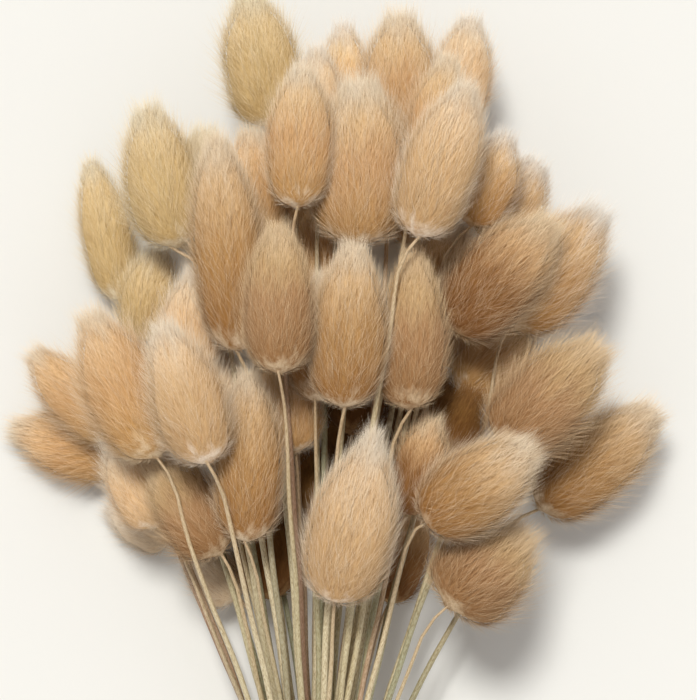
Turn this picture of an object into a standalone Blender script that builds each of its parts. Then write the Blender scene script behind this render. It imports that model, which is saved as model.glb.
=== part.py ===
"""Dried bunny tail grass, Lagurus ovatus: one tied bunch, lying on its side.

Each stem carries one soft egg-shaped seed head. The stems run together under a twine tie and end in
a plain cut. The bunch lies on the heads of its underside. +Z is up and +Y runs from the cut ends
towards the heads. The origin is on the surface, below the middle of the whole bunch.
"""

import math

import bmesh
import bpy
import numpy as np
from mathutils import Vector

MM = 0.001

# Seed heads. A row of HEADS is (tip x, tip y, base x, base y, width, base height, tip height) in
# millimetres, seen from above, with x and y from the middle of the tie and heights from the surface.
# The first list is the heads that lie uppermost, then those half behind them, then the underside.
HEADS_UPPER = [
    (36, 200, 23, 163, 15.5, 68, 72),
    (13, 202, 9.5, 161, 20, 52, 56),
    (-5.5, 167, -7, 131, 15, 63, 66),
    (7.5, 163, 6, 123, 16, 62, 66),
    (21, 161.5, 21, 122.5, 14.5, 55, 58),
    (16.5, 118.5, 4, 77, 18.5, 55, 68),
    (-34, 145, -25, 110, 15, 66, 64),
    (-17.5, 133, -17, 91, 14.5, 50, 57),
    (-22.5, 189, -18.5, 136, 15, 55, 60),
    (-5.5, 205, -4, 170, 14, 54, 56),
    (33, 207, 25, 178, 12, 54, 56),
    (50, 112, 26, 97, 17.5, 46, 66),
    (-55, 146.5, -37.5, 111, 17.5, 46, 50),
    (53.5, 170, 30, 141.5, 18, 48, 54),
    (25.5, 122.5, 21.5, 97, 12, 46, 52),
    (65, 140.5, 42.5, 114, 18, 38, 44),
]
HEADS_MIDDLE = [
    (-17.5, 223.5, -10, 190, 16.5, 36, 40),
    (6.5, 217, 6.5, 188, 12, 32, 34),
    (-1, 210, 0, 184, 12, 40, 44),
    (22.5, 218.5, 19, 186, 16.5, 38, 42),
    (36.5, 218.5, 33, 192, 13, 28, 32),
    (43.5, 190, 36.5, 166, 13, 48, 50),
    (53, 184.5, 40, 163, 14.5, 30, 34),
    (69, 171, 45.5, 142, 18, 32, 36),
    (36.5, 168, 27, 146, 14.5, 32, 36),
    (83, 122.5, 53, 98, 17, 18, 24),
    (48.5, 95.5, 30, 75.5, 19.5, 46, 47),
    (40, 127.5, 28, 106, 12.5, 36, 38),
    (2.5, 156, -1, 124.5, 12.5, 46, 48),
    (-9, 140, -5, 112, 14.5, 42, 44),
    (-42.5, 195.5, -33, 161, 16.5, 44, 48),
    (-29, 191.5, -30.5, 160, 15, 32, 36),
    (-58.5, 184.5, -48, 149, 11.5, 13, 12),
    (-40, 163, -43, 139, 13, 26, 30),
    (-31.5, 157, -30.5, 132, 13, 42, 44),
    (-16.5, 191, -13.5, 163, 13, 36, 40),
    (-69, 139, -49, 116, 13, 22, 20),
    (-76, 120.5, -48, 110, 14.5, 9, 7),
    (-48, 118, -38, 94, 13, 32, 32),
    (-37, 112, -23, 88, 15.5, 40, 42),
    (-26, 139, -24.5, 108.5, 13, 34, 38),
]
HEADS_UNDER = [
    (-52.5, 100.5, -36, 90, 11, 3, 3),
    (-31, 90, -19, 76, 12, 13, 11),
    (3, 178, 2, 148, 15, 22, 24),
    (44, 158, 29, 132, 16, 5.5, 5.5),
    (-25, 176, -18, 144, 15, 5, 5),
    (-51, 139, -36, 112, 15, 5, 5),
    (31, 133.5, 19, 109.5, 15.5, 5.5, 5.5),
    (14, 146, 8, 116, 14, 26, 28),
    (-3, 114, -1, 86, 15, 5, 5),
    (27, 192, 22, 162, 15, 5, 5),
    (52, 146, 34, 126, 14, 26, 28),
    (-15, 104, -10, 76, 13, 12, 12),
    (25, 102, 17, 74, 13, 4, 4),
    (-8, 196, -6, 166, 15, 5, 5),
    (8, 128, 5, 99, 14, 4.5, 4.5),
]
HEADS = HEADS_UPPER + HEADS_MIDDLE + HEADS_UNDER

# Shape of a head. Its tufts stand on a narrower core and lean towards the tip.
FULLEST_AT = 0.4            # share of the length, from the base, where a head is widest
BASE_BLUNTNESS = 3.4        # powers that shape a head's outline towards its base and its tip
TIP_BLUNTNESS = 2.4
TIP_NARROWING = 0.62
TUFT_COLUMNS = 10           # places for a tuft round a head, every second one raised in each row
TUFT_ROWS = 9
FIRST_ROW_AT = 0.05         # shares of the length where the first and last rows stand
LAST_ROW_AT = 0.92
TUFT_HEIGHT = 1.6
TUFT_LEAN = 0.8             # how far a tuft leans to the tip, in rows
TUFT_REACH = 0.97           # share of the length that the last tufts reach
SLIM_PART = 0.35            # hollows get shallower where the radius is under this share of the width
REST_DEPTH = 2.5            # a head that lies on the surface is pressed flat by this much
HEAD_ROLL = 0.6             # radians that each head is turned about its axis beyond the one before it
TINT_STEP = 7               # the heads' colours go from pale to deep in TINT_LEVELS levels, mixed up
TINT_LEVELS = 11

# Stems and tie. The tie's middle is at x = 0 and y = 0 until place_origin moves the bunch.
STEM_DIAMETER = 1.4
STEM_SIDES = 5
STEM_RINGS = 8
RINGS_TOWARDS_HEAD = 0.75   # below 1, the rings of a stem stand closer near its head
NECK_LENGTH = 5.0           # last stretch of a stem, below its head
STEM_TO_HEAD = 0.3
SLOT_PITCH = 1.65           # distance between neighbouring stems under the tie
SLOT_REACH = 8              # slots are looked for this many pitches each way
TIE_HEIGHT = 22.0           # middle of the tie above the surface
TIE_STRAIGHT = 6.0          # stems run straight this far each way from the middle of the tie
TIE_TURNS = 5
TWINE_DIAMETER = 1.8
TWINE_PRESSED = 0.98        # share of its diameter that each turn of twine keeps beside the next
RIDGE_POINTS = 3
TIE_CLEARANCE = 0.3
TIE_SIDES = 14
PRESSED_LENGTH = 3.0        # stretch under the tie where the stems are pressed into one another
PRESSED_SIDES = 20
CUT_END_AT = -128.0         # along y, from the tie, before the stagger
CUT_END_STAGGER = 5.0
CUT_END_TURN = 2.4          # radians between the staggers of two stems, so that no two ends pair up
CUT_END_HEIGHT = 9.1        # middle of the cut ends above the surface
CUT_END_SPREAD = 1.3        # how much wider the bundle is at its cut ends than under the tie

# Settling: heads and stems are moved apart step by step until none cuts another
HEAD_GAP = 1.3              # wanted between two heads
STEM_GAP = 0.7              # wanted between a stem and a head
STEM_APART = 0.3            # wanted between two stems
HEAD_STEPS = 260
STEM_STEPS = 260
HEAD_SAMPLES = np.array([0.07, 0.2, 0.34, 0.48, 0.62, 0.76, 0.88, 0.96])
BALL_SAMPLES = np.linspace(0.03, 0.97, 14)
UPRIGHT_SHARE = 0.6         # heads part more upwards and downwards than sideways
SIDEWAYS_SHARE = 0.55
HEAD_STRIDE = 0.45
HEAD_PULL = 0.10            # pull of a head back to its place, which fades to nothing
HEIGHT_PULL = 0.035
STEM_STRIDE = 1.5
STEM_TO_STEM_STRIDE = 0.4
STEM_STIFFNESS = 0.2
STIFFNESS_FADE = 1.5        # power by which the stiffness fades to nothing
PROBES_EACH = 6             # checks between two rings of a stem
NEAR_ALONG_Y = 30.0         # heads further apart than this along y never meet
TINY = 1e-6

SEED_HEAD_PALE = (0.78, 0.62, 0.42)
SEED_HEAD_DEEP = (0.52, 0.34, 0.17)
STEM_STRAW = (0.46, 0.40, 0.23)
TWINE_BROWN = (0.42, 0.29, 0.16)


def head_radius(share, width):
    """Radius of a head over its tufts at a share of its length, from base to tip."""
    share = np.asarray(share, dtype=float)
    lower_share = np.clip(1 - share / FULLEST_AT, 0, 1)
    lower = np.sqrt(1 - lower_share ** BASE_BLUNTNESS)
    upper_share = np.clip((share - FULLEST_AT) / (1 - FULLEST_AT), 0, 1)
    upper = (1 - upper_share ** TIP_BLUNTNESS) ** TIP_NARROWING
    return 0.5 * width * np.where(share < FULLEST_AT, lower, upper)


def near_pairs(first_y, second_y, reach, same_owner):
    """Index pairs of points whose places along y lie within reach and whose owners differ."""
    near = (np.abs(first_y[:, None] - second_y[None, :]) < reach) & ~same_owner
    return np.nonzero(near)


def pushed_apart(points, others, pairs, need, upright=0.0):
    """How far each point has to move, so that it stands need away from the others it is paired with."""
    one, two = pairs
    away = points[one] - others[two]
    distance = np.linalg.norm(away, axis=1) + TINY
    short = np.maximum(need - distance, 0)
    push = away * (short / distance)[:, None]
    push[:, 2] += upright * short * np.sign(away[:, 2] + TINY * (one - two))
    count = len(points)
    crowd = np.maximum(np.bincount(one, weights=short > 0, minlength=count), 1)
    total = [np.bincount(one, weights=push[:, axis], minlength=count) for axis in range(3)]
    return np.stack(total, axis=1) / np.sqrt(crowd)[:, None]


def settle_heads():
    """Moves the heads apart, mostly up and down, and rests the lowest on the surface."""
    rows = np.array(HEADS, dtype=float)
    wanted_tips = rows[:, [0, 1, 6]]
    wanted_bases = rows[:, [2, 3, 5]]
    widths = rows[:, 4]
    tips = wanted_tips.copy()
    bases = wanted_bases.copy()
    lengths = np.linalg.norm(tips - bases, axis=1)[:, None]
    shares = HEAD_SAMPLES[None, :, None]
    radii = np.array([head_radius(HEAD_SAMPLES, width) for width in widths]).reshape(-1)
    owner = np.repeat(np.arange(len(rows)), len(HEAD_SAMPLES))
    centres = (bases[:, None] + (tips - bases)[:, None] * shares).reshape(-1, 3)
    pairs = near_pairs(centres[:, 1], centres[:, 1], NEAR_ALONG_Y, owner[:, None] == owner[None, :])
    need = radii[pairs[0]] + radii[pairs[1]] + HEAD_GAP
    for step in range(HEAD_STEPS):
        centres = (bases[:, None] + (tips - bases)[:, None] * shares).reshape(-1, 3)
        moved = HEAD_STRIDE * pushed_apart(centres, centres, pairs, need, UPRIGHT_SHARE)
        moved[:, :2] *= SIDEWAYS_SHARE
        moved[:, 2] += np.maximum(radii - REST_DEPTH - centres[:, 2], 0)
        moved = moved.reshape(len(rows), -1, 3)
        tips += (moved * shares).sum(axis=1) / shares.sum()
        bases += (moved * (1 - shares)).sum(axis=1) / (1 - shares).sum()
        pull = (1 - step / HEAD_STEPS) * np.array([HEAD_PULL, HEAD_PULL, HEIGHT_PULL])
        tips += (wanted_tips - tips) * pull
        bases += (wanted_bases - bases) * pull
        middle = 0.5 * (tips + bases)
        half = 0.5 * lengths * (tips - bases) / np.linalg.norm(tips - bases, axis=1)[:, None]
        tips = middle + half
        bases = middle - half
    return bases, tips, widths


def bundle_slots(count):
    """Places of the stems under the tie: the count points of a close packing nearest its middle."""
    places = []
    for row in range(-SLOT_REACH, SLOT_REACH + 1):
        for column in range(-SLOT_REACH, SLOT_REACH + 1):
            places.append((SLOT_PITCH * (column + 0.5 * (row % 2)), SLOT_PITCH * math.sqrt(0.75) * row))
    middle_x = 0.25 * SLOT_PITCH
    places.sort(key=lambda place: (round(math.hypot(place[0] - middle_x, place[1]), 6), place))
    return np.array(places[:count]) - np.array([middle_x, 0])


def matched_slots(bases):
    """Gives each stem the slot on its own side of the bundle, so that stems don't cross."""
    fan = np.stack([bases[:, 0] / bases[:, 1], (bases[:, 2] - TIE_HEIGHT) / bases[:, 1]], axis=1)
    fan -= fan.mean(axis=0)
    fan /= fan.std(axis=0)
    slots = bundle_slots(len(bases))
    order = np.argsort(fan[:, 0])
    given = np.empty(len(bases), dtype=int)
    given[order] = np.argsort(slots[:, 0], kind="stable")
    scaled = slots / slots.std(axis=0)
    improved = True
    while improved:
        improved = False
        for a in range(len(bases)):
            for b in range(a + 1, len(bases)):
                kept = fan[a] @ scaled[given[a]] + fan[b] @ scaled[given[b]]
                swapped = fan[a] @ scaled[given[b]] + fan[b] @ scaled[given[a]]
                if swapped > kept + TINY:
                    given[a], given[b] = given[b], given[a]
                    improved = True
    return slots[given]


def probe_weights():
    """Shares of two neighbouring rings in each probe point along a stem."""
    places = (np.arange((STEM_RINGS - 1) * PROBES_EACH) + 0.5) / PROBES_EACH
    ring_below = np.floor(places).astype(int)
    weights = np.zeros((len(places), STEM_RINGS))
    probe = np.arange(len(places))
    weights[probe, ring_below] = 1 - (places - ring_below)
    weights[probe, ring_below + 1] = places - ring_below
    return weights


def first_route(bases, tips, slots):
    """Stems before settling: straight from under the tie to just below the head, then into its base."""
    count = len(bases)
    along = (tips - bases) / np.linalg.norm(tips - bases, axis=1)[:, None]
    starts = np.stack([slots[:, 0], np.full(count, TIE_STRAIGHT), TIE_HEIGHT + slots[:, 1]], axis=1)
    ends = bases - along * STEM_TO_HEAD
    necks = ends - along * NECK_LENGTH
    shares = np.linspace(0, 1, STEM_RINGS - 1) ** RINGS_TOWARDS_HEAD
    rings = starts[:, None] + (necks - starts)[:, None] * shares[None, :, None]
    return np.concatenate([rings, ends[:, None]], axis=1)


def route_stems(bases, tips, widths, slots):
    """Centre lines of the stems, from under the tie to each head, led round the other heads."""
    count = len(bases)
    rings = first_route(bases, tips, slots)
    ball_radii = np.array([head_radius(BALL_SAMPLES, width) for width in widths]).reshape(-1)
    balls = (bases[:, None] + (tips - bases)[:, None] * BALL_SAMPLES[None, :, None]).reshape(-1, 3)
    ball_owner = np.repeat(np.arange(count), len(BALL_SAMPLES))
    weights = probe_weights()
    probe_owner = np.repeat(np.arange(count), len(weights))
    probes = np.einsum("pr,srx->spx", weights, rings).reshape(-1, 3)
    widest = 0.5 * widths.max() + STEM_DIAMETER + STEM_GAP
    head_pairs = near_pairs(probes[:, 1], balls[:, 1], widest, probe_owner[:, None] == ball_owner[None, :])
    head_need = ball_radii[head_pairs[1]] + 0.5 * STEM_DIAMETER + STEM_GAP
    same_stem = probe_owner[:, None] == probe_owner[None, :]
    stem_pairs = near_pairs(probes[:, 1], probes[:, 1], STEM_DIAMETER + STEM_APART, same_stem)
    for step in range(STEM_STEPS):
        probes = np.einsum("pr,srx->spx", weights, rings).reshape(-1, 3)
        push = pushed_apart(probes, balls, head_pairs, head_need)
        push += STEM_TO_STEM_STRIDE * pushed_apart(probes, probes, stem_pairs, STEM_DIAMETER + STEM_APART)
        push = push.reshape(count, -1, 3)
        shift = STEM_STRIDE * np.einsum("pr,spx->srx", weights, push) / weights.sum(axis=0)[None, :, None]
        stiffness = STEM_STIFFNESS * (1 - step / STEM_STEPS) ** STIFFNESS_FADE
        shift[:, 1:-1] += stiffness * (0.5 * (rings[:, :-2] + rings[:, 2:]) - rings[:, 1:-1])
        shift[:, (0, -1)] = 0
        shift[..., 1] = 0
        rings = rings + shift
        rings[..., 2] = np.maximum(rings[..., 2], 0.5 * STEM_DIAMETER + STEM_APART)
    return rings


def tuft_mesh(name, length, width, roll, rest_plane):
    """One seed head, base at the origin and tip up +Z: rows of raised tufts that lean to the tip.

    Every second lattice point is a tuft. Each cell between rows is split from hollow to hollow, so
    that a tuft is a four-sided point. rest_plane cuts the flat spot of a head that lies on the surface.
    """
    shape = bmesh.new()
    row_shares = np.linspace(FIRST_ROW_AT, LAST_ROW_AT, TUFT_ROWS)
    row_step = row_shares[1] - row_shares[0]
    rows = []
    for row, share in enumerate(row_shares):
        ring = []
        for column in range(TUFT_COLUMNS):
            angle = roll + 2 * math.pi * column / TUFT_COLUMNS
            raised = (row + column) % 2 == 0
            radius = float(head_radius(share, width))
            at = share
            if raised:
                at = share + TUFT_LEAN * row_step
                radius = 0.5 * (radius + float(head_radius(min(at, TUFT_REACH), width)))
            else:
                radius -= TUFT_HEIGHT * min(1.0, radius / (SLIM_PART * width))
            place = (radius * math.cos(angle) * MM, radius * math.sin(angle) * MM, at * length * MM)
            ring.append(shape.verts.new(place))
        rows.append(ring)
    base_pole = shape.verts.new((0, 0, 0))
    tip_pole = shape.verts.new((0, 0, length * MM))
    for row in range(TUFT_ROWS - 1):
        for column in range(TUFT_COLUMNS):
            beside = (column + 1) % TUFT_COLUMNS
            low_left = rows[row][column]
            low_right = rows[row][beside]
            high_left = rows[row + 1][column]
            high_right = rows[row + 1][beside]
            if (row + column) % 2 == 0:
                shape.faces.new((low_left, low_right, high_left))
                shape.faces.new((low_right, high_right, high_left))
            else:
                shape.faces.new((low_left, low_right, high_right))
                shape.faces.new((low_left, high_right, high_left))
    for column in range(TUFT_COLUMNS):
        beside = (column + 1) % TUFT_COLUMNS
        shape.faces.new((base_pole, rows[0][beside], rows[0][column]))
        shape.faces.new((tip_pole, rows[-1][column], rows[-1][beside]))
    if rest_plane:
        point, outward = rest_plane
        everything = shape.verts[:] + shape.edges[:] + shape.faces[:]
        cut = bmesh.ops.bisect_plane(shape, geom=everything, plane_co=point, plane_no=outward,
                                     dist=TINY, clear_outer=True)
        rim = [part for part in cut["geom_cut"] if isinstance(part, bmesh.types.BMEdge)]
        if rim:
            bmesh.ops.edgeloop_fill(shape, edges=rim)
    bmesh.ops.recalc_face_normals(shape, faces=shape.faces)
    mesh = bpy.data.meshes.new(name)
    shape.to_mesh(mesh)
    shape.free()
    return mesh


def plain_material(name, colour, roughness):
    material = bpy.data.materials.new(name)
    material.use_nodes = True
    shader = material.node_tree.nodes["Principled BSDF"]
    shader.inputs["Base Color"].default_value = (*colour, 1)
    shader.inputs["Roughness"].default_value = roughness
    shader.inputs["Metallic"].default_value = 0
    return material


def add_object(name, mesh, material, parent):
    made = bpy.data.objects.new(name, mesh)
    mesh.materials.append(material)
    bpy.context.collection.objects.link(made)
    made.parent = parent
    return made


def make_heads(bases, tips, widths, bunch):
    for index, (base, tip, width) in enumerate(zip(bases, tips, widths)):
        name = f"head_{index + 1:02d}"
        axis = Vector(tip - base)
        length = axis.length
        turn = axis.to_track_quat("Z", "Y")
        down = turn.inverted() @ Vector((0, 0, -1))
        surface_point = turn.inverted() @ (Vector((base[0], base[1], 0)) - Vector(base))
        mesh = tuft_mesh(name, length, width, HEAD_ROLL * index, (surface_point * MM, down))
        depth = (index * TINT_STEP % TINT_LEVELS) / (TINT_LEVELS - 1)
        colour = [pale + (deep - pale) * depth for pale, deep in zip(SEED_HEAD_PALE, SEED_HEAD_DEEP)]
        head = add_object(name, mesh, plain_material(f"dried_seed_head_{index + 1:02d}", colour, 0.95), bunch)
        head.rotation_mode = "QUATERNION"
        head.rotation_quaternion = turn
        head.location = Vector(base) * MM


def stem_mesh(name, centre_line):
    """One stem as a closed tube with flat ends round a centre line in millimetres."""
    shape = bmesh.new()
    points = [Vector(point) for point in centre_line]
    rings = []
    for index, point in enumerate(points):
        ahead = points[min(index + 1, len(points) - 1)]
        behind = points[max(index - 1, 0)]
        tangent = (ahead - behind).normalized()
        side = (Vector((1, 0, 0)) - tangent * tangent.x).normalized()
        over = tangent.cross(side)
        ring = []
        for corner in range(STEM_SIDES):
            angle = 2 * math.pi * corner / STEM_SIDES
            offset = side * math.cos(angle) + over * math.sin(angle)
            ring.append(shape.verts.new((point + offset * 0.5 * STEM_DIAMETER) * MM))
        rings.append(ring)
    for low, high in zip(rings, rings[1:]):
        for corner in range(STEM_SIDES):
            beside = (corner + 1) % STEM_SIDES
            shape.faces.new((low[corner], low[beside], high[beside], high[corner]))
    shape.faces.new(rings[0][::-1])
    shape.faces.new(rings[-1])
    bmesh.ops.recalc_face_normals(shape, faces=shape.faces)
    mesh = bpy.data.meshes.new(name)
    shape.to_mesh(mesh)
    shape.free()
    return mesh


def lower_points(slot, index):
    """The stem's stretch from its cut end to just under the tie. All of them lie in one even fan."""
    under_tie = np.array([slot[0], -TIE_STRAIGHT, TIE_HEIGHT + slot[1]])
    fan = np.array([slot[0] * CUT_END_SPREAD, CUT_END_AT, CUT_END_HEIGHT + slot[1] * CUT_END_SPREAD])
    reach = 1 + CUT_END_STAGGER * math.sin(CUT_END_TURN * index) / (CUT_END_AT + TIE_STRAIGHT)
    return [tuple(under_tie + (fan - under_tie) * reach), tuple(under_tie)]


def make_stems(rings, slots, bunch):
    """All stems as one body: they are joined where the tie presses them into one another."""
    tubes = bpy.data.collections.new("stem_tubes")
    bpy.context.scene.collection.children.link(tubes)
    for index, (line, slot) in enumerate(zip(rings, slots)):
        mesh = stem_mesh(f"stem_tube_{index + 1:02d}", lower_points(slot, index) + [tuple(p) for p in line])
        tube = bpy.data.objects.new(mesh.name, mesh)
        tubes.objects.link(tube)
    bundle_radius = np.linalg.norm(slots, axis=1).max()
    bpy.ops.mesh.primitive_cylinder_add(vertices=PRESSED_SIDES, radius=bundle_radius * MM,
                                        depth=PRESSED_LENGTH * MM, location=(0, 0, TIE_HEIGHT * MM),
                                        rotation=(math.pi / 2, 0, 0))
    stems = bpy.context.object
    stems.name = "stems"
    stems.data.name = "stems"
    bpy.ops.object.transform_apply(location=True, rotation=True, scale=True)
    join = stems.modifiers.new("join_under_tie", "BOOLEAN")
    join.operation = "UNION"
    join.operand_type = "COLLECTION"
    join.collection = tubes
    join.solver = "EXACT"
    bpy.ops.object.modifier_apply(modifier=join.name)
    for tube in list(tubes.objects):
        bpy.data.objects.remove(tube)
    bpy.data.collections.remove(tubes)
    stems.data.materials.clear()
    stems.data.materials.append(plain_material("dried_straw", STEM_STRAW, 0.7))
    stems.parent = bunch
    return bundle_radius


def make_tie(bundle_radius, bunch):
    """Twine wound round the stems: turned from a profile with one round ridge for each turn."""
    inner = bundle_radius + 0.5 * STEM_DIAMETER + TIE_CLEARANCE
    width = TIE_TURNS * TWINE_DIAMETER
    profile = [(inner, -0.5 * width), (inner, 0.5 * width)]
    for turn in reversed(range(TIE_TURNS)):
        middle = (turn + 0.5) * TWINE_DIAMETER - 0.5 * width
        for point in range(RIDGE_POINTS):
            angle = math.pi * (point + 0.5) / RIDGE_POINTS
            swell = 0.5 * TWINE_DIAMETER * math.sin(angle)
            along = 0.5 * TWINE_DIAMETER * math.cos(angle) * TWINE_PRESSED
            profile.append((inner + 0.5 * TWINE_DIAMETER + swell, middle + along))
    shape = bmesh.new()
    rings = []
    for side in range(TIE_SIDES):
        angle = 2 * math.pi * side / TIE_SIDES
        ring = []
        for radius, along in profile:
            outer = radius / math.cos(math.pi / TIE_SIDES)
            place = Vector((outer * math.cos(angle), along, TIE_HEIGHT + outer * math.sin(angle)))
            ring.append(shape.verts.new(place * MM))
        rings.append(ring)
    points = len(profile)
    for side in range(TIE_SIDES):
        this = rings[side]
        after = rings[(side + 1) % TIE_SIDES]
        for point in range(points):
            beside = (point + 1) % points
            shape.faces.new((this[point], this[beside], after[beside], after[point]))
    bmesh.ops.recalc_face_normals(shape, faces=shape.faces)
    mesh = bpy.data.meshes.new("tie")
    shape.to_mesh(mesh)
    shape.free()
    add_object("tie", mesh, plain_material("jute_twine", TWINE_BROWN, 0.9), bunch)


def place_origin(bunch):
    """Shifts the whole bunch so that the origin lies on the surface below the middle of its box."""
    bpy.context.view_layer.update()
    corners = []
    for made in bunch.children:
        corners += [made.matrix_world @ vertex.co for vertex in made.data.vertices]
    low = [min(corner[axis] for corner in corners) for axis in range(3)]
    high = [max(corner[axis] for corner in corners) for axis in range(3)]
    bunch.location = (-0.5 * (low[0] + high[0]), -0.5 * (low[1] + high[1]), -low[2])


def build():
    for made in list(bpy.data.objects):
        bpy.data.objects.remove(made)
    bunch = bpy.data.objects.new("bunch", None)
    bpy.context.collection.objects.link(bunch)
    bases, tips, widths = settle_heads()
    make_heads(bases, tips, widths, bunch)
    slots = matched_slots(bases)
    rings = route_stems(bases, tips, widths, slots)
    bundle_radius = make_stems(rings, slots, bunch)
    make_tie(bundle_radius, bunch)
    place_origin(bunch)


build()
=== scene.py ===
"""Dried bunny tail grass: one tied bunch that lies on a pale surface, seen from above.

The sections follow the bunch as it is put together: the straw stems, the twine that ties them, the
furry seed heads, and then the surface, the lights and the camera.
"""
import math

import bmesh
import bpy
import numpy as np
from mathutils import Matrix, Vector


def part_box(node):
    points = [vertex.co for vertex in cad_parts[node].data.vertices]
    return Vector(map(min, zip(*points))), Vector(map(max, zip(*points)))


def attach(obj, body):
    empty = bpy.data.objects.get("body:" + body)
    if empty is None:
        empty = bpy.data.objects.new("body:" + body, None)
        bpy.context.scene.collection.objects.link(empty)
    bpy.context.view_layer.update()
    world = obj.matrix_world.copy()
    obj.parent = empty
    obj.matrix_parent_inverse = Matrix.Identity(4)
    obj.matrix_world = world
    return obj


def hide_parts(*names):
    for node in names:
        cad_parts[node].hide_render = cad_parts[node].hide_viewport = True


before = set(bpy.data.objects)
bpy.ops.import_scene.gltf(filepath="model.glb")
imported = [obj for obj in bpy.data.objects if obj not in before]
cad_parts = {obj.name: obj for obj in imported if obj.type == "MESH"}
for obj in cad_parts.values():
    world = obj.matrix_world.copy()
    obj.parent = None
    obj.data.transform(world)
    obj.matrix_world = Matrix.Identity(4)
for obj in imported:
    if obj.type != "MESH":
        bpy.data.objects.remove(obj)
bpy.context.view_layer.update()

# Stems: dry hollow straws of the grass, one for each seed head. They are gathered side by side under
# the twine, fan out to both sides of it, and are cut off square below it. Each is thickest at its cut
# end and thin where it enters its head.
MM = 0.001
PACKED_SIDES = 5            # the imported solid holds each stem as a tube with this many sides
MERGE = 2e-6                # points closer than this are one
PRESSED_REACH = 5 * MM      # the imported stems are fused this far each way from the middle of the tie
CURVE_STEPS = 24            # points worked out along a smooth line between two packed rings
STRAW_SIDES = 8
STRAW_STEP = 6 * MM
STRAW_CUT_RADIUS = 0.76 * MM
STRAW_NECK_RADIUS = 0.33 * MM
STRAW_NECK_LENGTH = 60 * MM # the straw thins to its head over this length
STRAW_NECK_CURVE = 0.7      # power by which it thins: below 1, most of it near the head
STRAW_GIRTH = (0.86, 1.06)  # the thinnest and the thickest straw, as shares of these radii
STRAW_IN_HEAD = 3 * MM      # it runs this far into the head, as its spikelets sit on it
STRAW_WOBBLE = 0.18 * MM    # dry straw is never quite straight
STRAW_WAVE = 38 * MM
STRAW_WAVE_UPRIGHT = 0.8    # it wavers this much less often up and down than sideways
STRAW_CALM = 12             # the wobble fades out over this part of the length at each end, a twelfth
HOLLOW_SHARE = 0.55         # of the radius, at the cut end
HOLLOW_DEPTH = 2.5 * MM
JOINT_SWELL = 0.22          # the grass's own joints, where a leaf grew, are a little thicker
JOINT_LENGTH = 1.6 * MM
JOINT_PLACE = (0.12, 0.3)   # shares of the length, from the cut end, between which a straw has its joint
STRAW_PATTERN = 20 * MM     # a straw's pattern counts its length in these
STRAW_PATTERN_STEP = 7.0    # and starts this much further on with each straw, so that no two are alike
RIB_SCALE = (2.2, 2.2, 14)  # with RIB_NOISE, ribs about 0.2 mm apart that run for 1 mm
RIB_NOISE = 1.6
RIB_HEIGHT = 0.12 * MM
STRAW_SEED = 11


def linear(colour):
    """An sRGB hex colour as linear red, green, blue and alpha."""
    parts = [int(colour[place:place + 2], 16) / 255 for place in (1, 3, 5)]
    return [p / 12.92 if p <= 0.04045 else ((p + 0.055) / 1.055) ** 2.4 for p in parts] + [1]


def material_with(name, roughness):
    """A new material with its Principled shader, and the shader itself."""
    material = bpy.data.materials.new(name)
    material.use_nodes = True
    shader = material.node_tree.nodes["Principled BSDF"]
    shader.inputs["Roughness"].default_value = roughness
    return material, shader


def add(material, kind, settings=None, **links):
    """Adds a node with its settings, such as a ramp's (place, hex colour) stops, and links or sets its
    inputs, each by its name or as n_ and its number."""
    tree = material.node_tree
    node = tree.nodes.new("ShaderNode" + kind)
    for key, value in (settings or {}).items():
        if key != "stops":
            setattr(node, key, value)
            continue
        elements = node.color_ramp.elements
        while len(elements) < len(value):
            elements.new(0.5)
        for element, (place, colour) in zip(elements, value):
            element.position = place
            element.color = linear(colour)
    for key, value in links.items():
        number = key[2:] if key.startswith("n_") else None
        socket = node.inputs[int(number)] if number else node.inputs[key.replace("_", " ")]
        if isinstance(value, bpy.types.NodeSocket):
            tree.links.new(value, socket)
        else:
            socket.default_value = value
    return node


def piece_from(name, points, faces, material, **vectors):
    """A new object from points and faces, with a named vector or more for each point."""
    mesh = bpy.data.meshes.new(name)
    mesh.from_pydata(points, [], faces)
    for title, values in vectors.items():
        attribute = mesh.attributes.new(title, "FLOAT_VECTOR", "POINT")
        attribute.data.foreach_set("vector", np.asarray(values, np.float32).ravel())
    mesh.polygons.foreach_set("use_smooth", [True] * len(mesh.polygons))
    mesh.materials.append(material)
    mesh.update()
    piece = bpy.data.objects.new(name, mesh)
    bpy.context.scene.collection.objects.link(piece)
    return piece


def packed_points(node):
    """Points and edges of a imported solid, once its loose triangles are joined at their corners."""
    shape = bmesh.new()
    shape.from_mesh(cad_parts[node].data)
    bmesh.ops.remove_doubles(shape, verts=shape.verts, dist=MERGE)
    shape.verts.index_update()
    points = np.array([tuple(vert.co) for vert in shape.verts])
    edges = np.array([[vert.index for vert in edge.verts] for edge in shape.edges])
    shape.free()
    return points, edges


def islands_of(points, edges, kept):
    """Groups of kept points that edges join."""
    edges = edges[kept[edges].all(axis=1)]
    label = np.arange(len(points))
    while True:
        low = np.minimum(label[edges[:, 0]], label[edges[:, 1]])
        lowest = label.copy()
        np.minimum.at(lowest, edges[:, 0], low)
        np.minimum.at(lowest, edges[:, 1], low)
        if (lowest == label).all():
            return [points[label == group] for group in np.unique(label[kept])]
        label = lowest


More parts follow.
